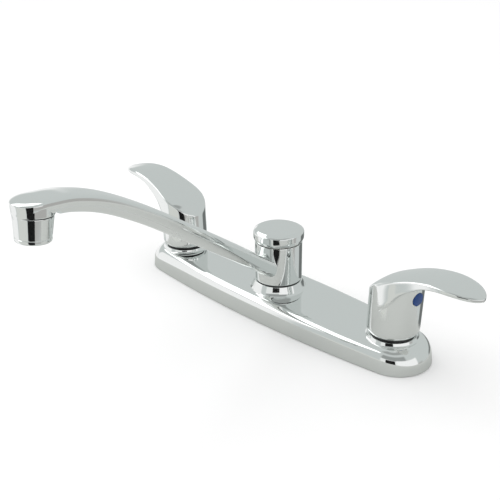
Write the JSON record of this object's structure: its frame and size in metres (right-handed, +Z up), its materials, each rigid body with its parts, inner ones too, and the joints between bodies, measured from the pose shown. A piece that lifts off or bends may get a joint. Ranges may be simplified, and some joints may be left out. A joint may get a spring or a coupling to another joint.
{
  "type": "two handle kitchen faucet",
  "caption": "Deck-mounted kitchen faucet with a bowed plate, a lever handle at each end and a long arched swivel spout rising from a capped centre column.",
  "frame": {"origin": "middle of the deck plate's underside, on the worktop's surface", "axes": "+X to the user's right, towards the cold handle; +Y away from the user; +Z up; the spout points along -Y at rest"},
  "size_m": [0.3356, 0.2312, 0.1843],
  "materials": {
    "chrome": "mirror bright plating",
    "brass": "machined",
    "steel": "zinc plated",
    "black_nylon": "moulded, satin",
    "black_rubber": "moulded, matt",
    "white_ceramic": "lapped ceramic",
    "white_nylon": "moulded, satin",
    "blue_plastic": "gloss",
    "red_plastic": "gloss"
  },
  "bodies": {
    "base": {"deck_plate": "chrome", "deck_gasket": "black_rubber", "spout_post": "brass", "spout_bearing_ring": "black_nylon", "spout_oring_lower": "black_rubber", "spout_oring_upper": "black_rubber", "cap_washer": "white_nylon", "spout_cap": "chrome", "hot_waterway_tube": "brass", "cold_waterway_tube": "brass", "hot_valve_body": "brass", "hot_clamp_washer": "steel", "hot_clamp_nut": "brass", "hot_seat_seal": "black_rubber", "hot_cartridge_body": "brass", "hot_fixed_disc": "white_ceramic", "hot_lock_nut": "brass", "hot_glide_ring": "black_nylon", "cold_valve_body": "brass", "cold_clamp_washer": "steel", "cold_clamp_nut": "brass", "cold_seat_seal": "black_rubber", "cold_cartridge_body": "brass", "cold_fixed_disc": "white_ceramic", "cold_lock_nut": "brass", "cold_glide_ring": "black_nylon"},
    "swing_spout": {"spout": "chrome", "aerator_housing": "chrome", "aerator_screen": "white_nylon", "aerator_washer": "black_rubber"},
    "hot_lever": {"hot_handle": "chrome", "hot_handle_screw": "steel", "hot_index_button": "red_plastic", "hot_stem": "brass", "hot_moving_disc": "white_ceramic"},
    "cold_lever": {"cold_handle": "chrome", "cold_handle_screw": "steel", "cold_index_button": "blue_plastic", "cold_stem": "brass", "cold_moving_disc": "white_ceramic"}
  },
  "joints": [
    {"name": "spout_swivel", "type": "hinge", "parent": "base", "child": "swing_spout", "pos_m": [0, 0, 0.038], "axis": [0, 0, 1], "continuous": true},
    {"name": "hot_turn", "type": "hinge", "parent": "base", "child": "hot_lever", "pos_m": [-0.1016, 0, 0.03], "axis": [0, 0, 1], "range_deg": [0, 90]},
    {"name": "cold_turn", "type": "hinge", "parent": "base", "child": "cold_lever", "pos_m": [0.1016, 0, 0.03], "axis": [0, 0, 1], "range_deg": [-85.5, 4.5]}
  ]
}
